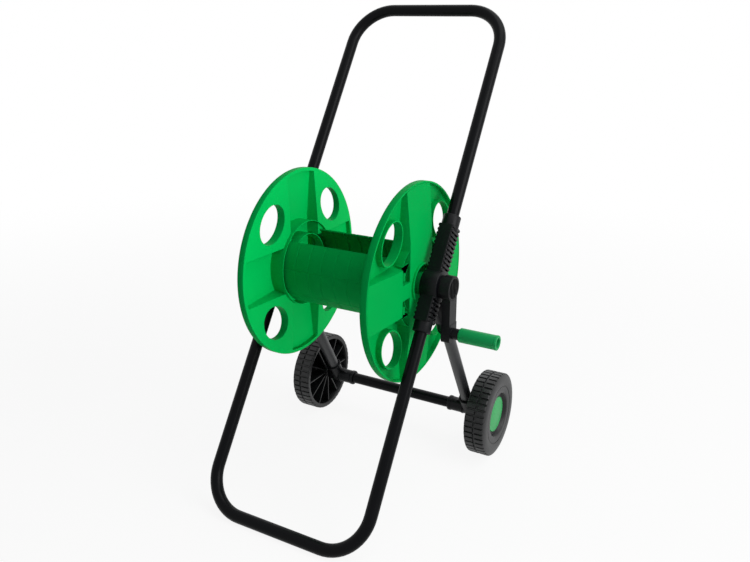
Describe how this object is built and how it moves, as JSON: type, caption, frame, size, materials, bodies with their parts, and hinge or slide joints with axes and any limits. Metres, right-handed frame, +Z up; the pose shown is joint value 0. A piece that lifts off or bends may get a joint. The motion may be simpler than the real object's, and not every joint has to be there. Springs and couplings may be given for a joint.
{
  "type": "hose reel cart",
  "caption": "Two-wheeled garden hose reel cart with a leaning tubular loop frame, an open drum between holed flanges, and a side crank.",
  "frame": {"origin": "on the ground under the middle of the foot bar, on the bar's underside", "axes": "+X to the crank side (right, seen from the front), +Y back from the foot bar to the wheels, +Z up"},
  "size_m": [0.4564, 0.5195, 0.7835],
  "materials": {
    "black_painted_steel": "satin",
    "black_plastic": "satin",
    "green_plastic": "semi-gloss",
    "zinc_plated_steel": "zinc plated"
  },
  "bodies": {
    "cart_frame": {"cross_tube": "black_painted_steel", "foot_tube": "black_painted_steel", "handle_tube": "black_painted_steel", "left_axle_tee": "black_plastic", "left_axle_washer": "zinc_plated_steel", "left_bracket": "black_plastic", "left_cross_tube_screw": "zinc_plated_steel", "left_foot_screw": "zinc_plated_steel", "left_handle_screw": "zinc_plated_steel", "left_leg_foot_screw": "zinc_plated_steel", "left_leg_top_screw": "zinc_plated_steel", "left_leg_tube": "black_painted_steel", "left_pivot_pin": "black_plastic", "left_push_nut": "zinc_plated_steel", "pivot_screw": "zinc_plated_steel", "pivot_washer": "zinc_plated_steel", "right_axle_tee": "black_plastic", "right_axle_washer": "zinc_plated_steel", "right_bracket": "black_plastic", "right_cross_tube_screw": "zinc_plated_steel", "right_foot_screw": "zinc_plated_steel", "right_handle_screw": "zinc_plated_steel", "right_leg_foot_screw": "zinc_plated_steel", "right_leg_top_screw": "zinc_plated_steel", "right_leg_tube": "black_painted_steel", "right_push_nut": "zinc_plated_steel", "wheel_axle": "zinc_plated_steel"},
    "reel": {"left_flange": "green_plastic", "right_flange": "green_plastic", "front_drum_shell": "green_plastic", "rear_drum_shell": "green_plastic", "crank_arm": "black_plastic", "crank_cap": "black_plastic", "crank_bolt": "zinc_plated_steel", "crank_washer": "zinc_plated_steel", "crank_nut": "zinc_plated_steel", "grip_pin": "zinc_plated_steel"},
    "grip": {"crank_grip": "green_plastic"},
    "left_road_wheel": {"left_wheel": "black_plastic", "left_hub_cap": "green_plastic"},
    "right_road_wheel": {"right_wheel": "black_plastic", "right_hub_cap": "green_plastic"}
  },
  "joints": [
    {"name": "reel_spin", "type": "hinge", "parent": "cart_frame", "child": "reel", "pos_m": [0, 0.23162, 0.36361], "axis": [1, 0, 0], "continuous": true},
    {"name": "grip_spin", "type": "hinge", "parent": "reel", "child": "grip", "pos_m": [0, 0.23162, 0.28961], "axis": [1, 0, 0], "continuous": true},
    {"name": "left_wheel_spin", "type": "hinge", "parent": "cart_frame", "child": "left_road_wheel", "pos_m": [0, 0.39662, 0.07541], "axis": [1, 0, 0], "continuous": true},
    {"name": "right_wheel_spin", "type": "hinge", "parent": "cart_frame", "child": "right_road_wheel", "pos_m": [0, 0.39662, 0.07541], "axis": [1, 0, 0], "continuous": true}
  ]
}
